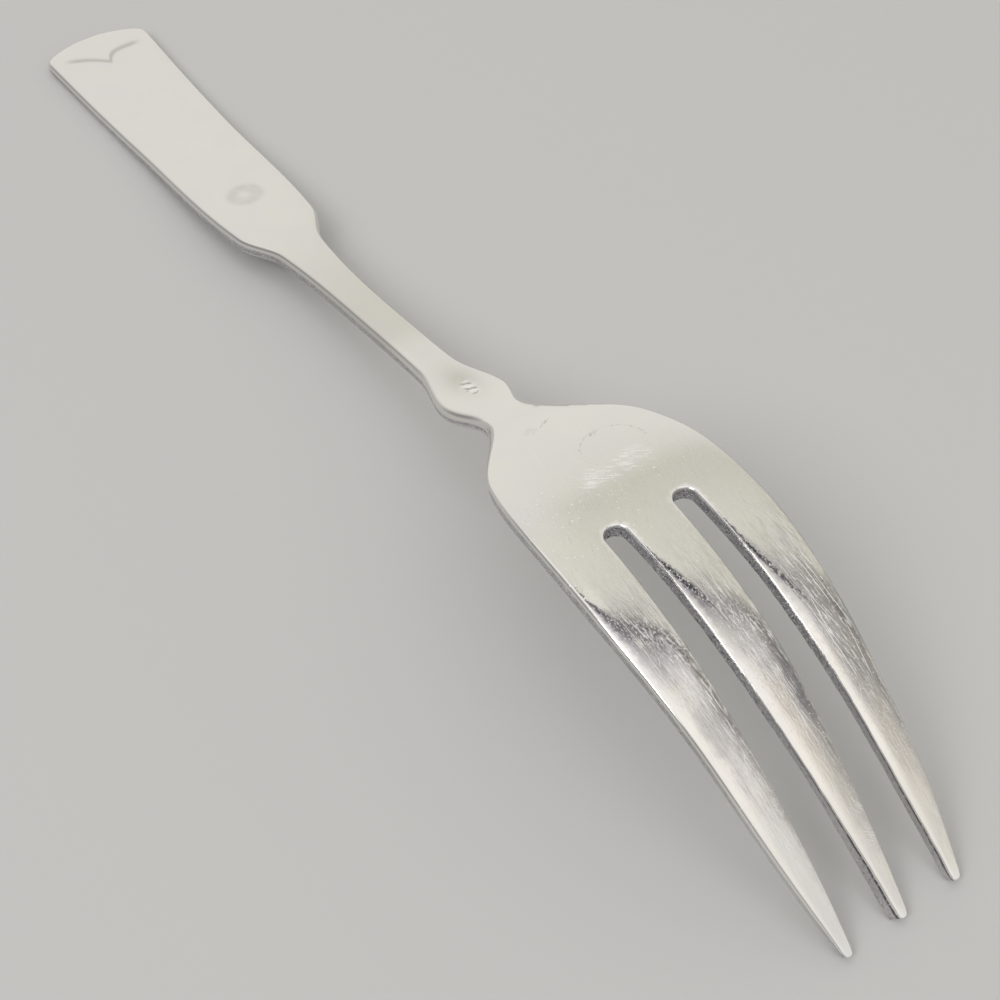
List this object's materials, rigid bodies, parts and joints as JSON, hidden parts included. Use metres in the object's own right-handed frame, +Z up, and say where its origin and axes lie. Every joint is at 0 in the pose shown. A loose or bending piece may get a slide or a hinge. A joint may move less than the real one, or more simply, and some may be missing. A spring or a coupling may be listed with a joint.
{
  "type": "dinner fork",
  "caption": "One-piece metal dinner fork with long tapering tines, a slim waisted stem with a small collar and a flat paddle handle, for spearing and lifting food.",
  "frame": {"origin": "on the resting plane, under the middle of the fork's length and width", "axes": "+X from the handle to the tips of the tines, +Y across the fork, +Z up from the resting plane to the fork's back"},
  "size_m": [0.1994, 0.0258, 0.0229],
  "materials": {
    "steel": "warm silver-grey metal, satin polished, with fine scratches and small pits from use"
  },
  "bodies": {
    "root": {"fork": "steel"}
  },
  "joints": []
}
